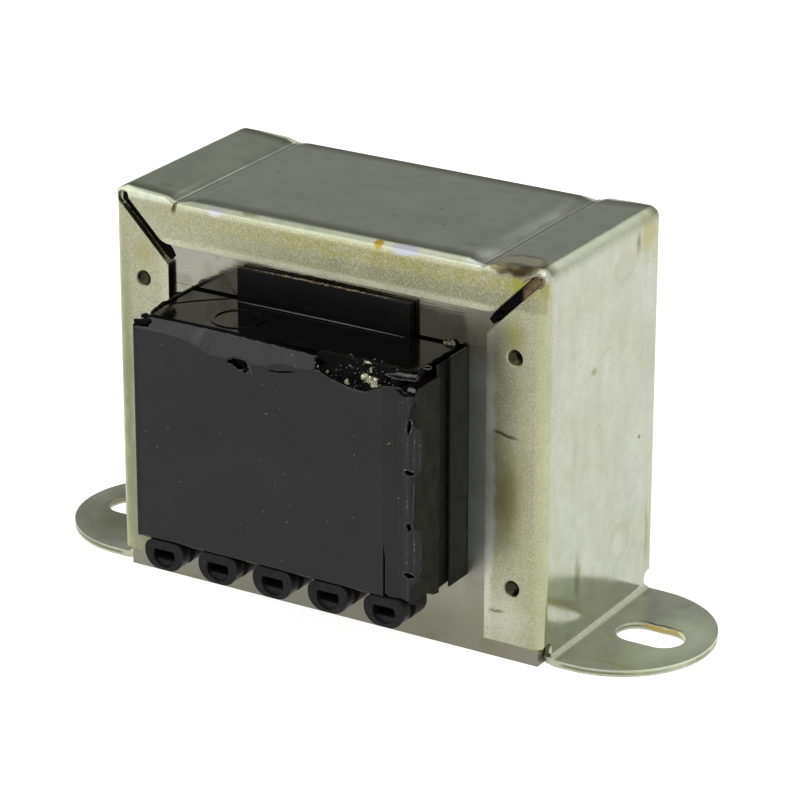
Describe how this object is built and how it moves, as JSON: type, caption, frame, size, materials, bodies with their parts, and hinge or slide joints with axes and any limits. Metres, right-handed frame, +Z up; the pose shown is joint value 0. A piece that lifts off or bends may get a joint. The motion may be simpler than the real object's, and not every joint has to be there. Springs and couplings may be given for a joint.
{
  "type": "laminated chassis transformer",
  "caption": "Laminated mains transformer on a moulded bobbin, held in a folded steel clamp frame with two slotted feet for a chassis.",
  "frame": {"origin": "midway between the centres of the two mounting slots, on the underside of the feet", "axes": "+X along the line through the two feet, +Y through the lamination stack towards the solder tags at the rear, +Z up from the feet to the web over the core"},
  "size_m": [0.0924, 0.0574, 0.0517],
  "materials": {
    "zinc_plated_steel": "satin yellow-tinted zinc plate with stains",
    "core_steel": "satin, thinly varnished",
    "bobbin_plastic": "black moulding under a film of varnish",
    "primary_wire": "enamelled copper",
    "secondary_wire": "enamelled copper",
    "film_tape": "polyester film",
    "varnished_tape": "varnished",
    "cover_sheet": "black sheet with a glossy coat of varnish",
    "liner_sheet": "varnished pressboard",
    "tinned_brass": "tinned",
    "solder": "bright tin-lead solder"
  },
  "bodies": {
    "root": {"clamp_frame": "zinc_plated_steel", "core_e_legs_up": "core_steel", "core_i_top": "core_steel", "core_e_legs_down": "core_steel", "core_i_bottom": "core_steel", "bobbin": "bobbin_plastic", "primary_winding": "primary_wire", "secondary_winding": "secondary_wire", "interwinding_tape": "film_tape", "outer_tape": "varnished_tape", "front_cover": "cover_sheet", "rear_cover": "cover_sheet", "window_liner_left": "liner_sheet", "window_liner_right": "liner_sheet", "secondary_tag_1": "tinned_brass", "primary_tag_1": "tinned_brass", "primary_tag_2": "tinned_brass", "secondary_tag_2": "tinned_brass", "secondary_lead_1": "secondary_wire", "secondary_lead_2": "secondary_wire", "primary_lead_1": "primary_wire", "primary_lead_2": "primary_wire", "solder_joints": "solder"}
  },
  "joints": []
}
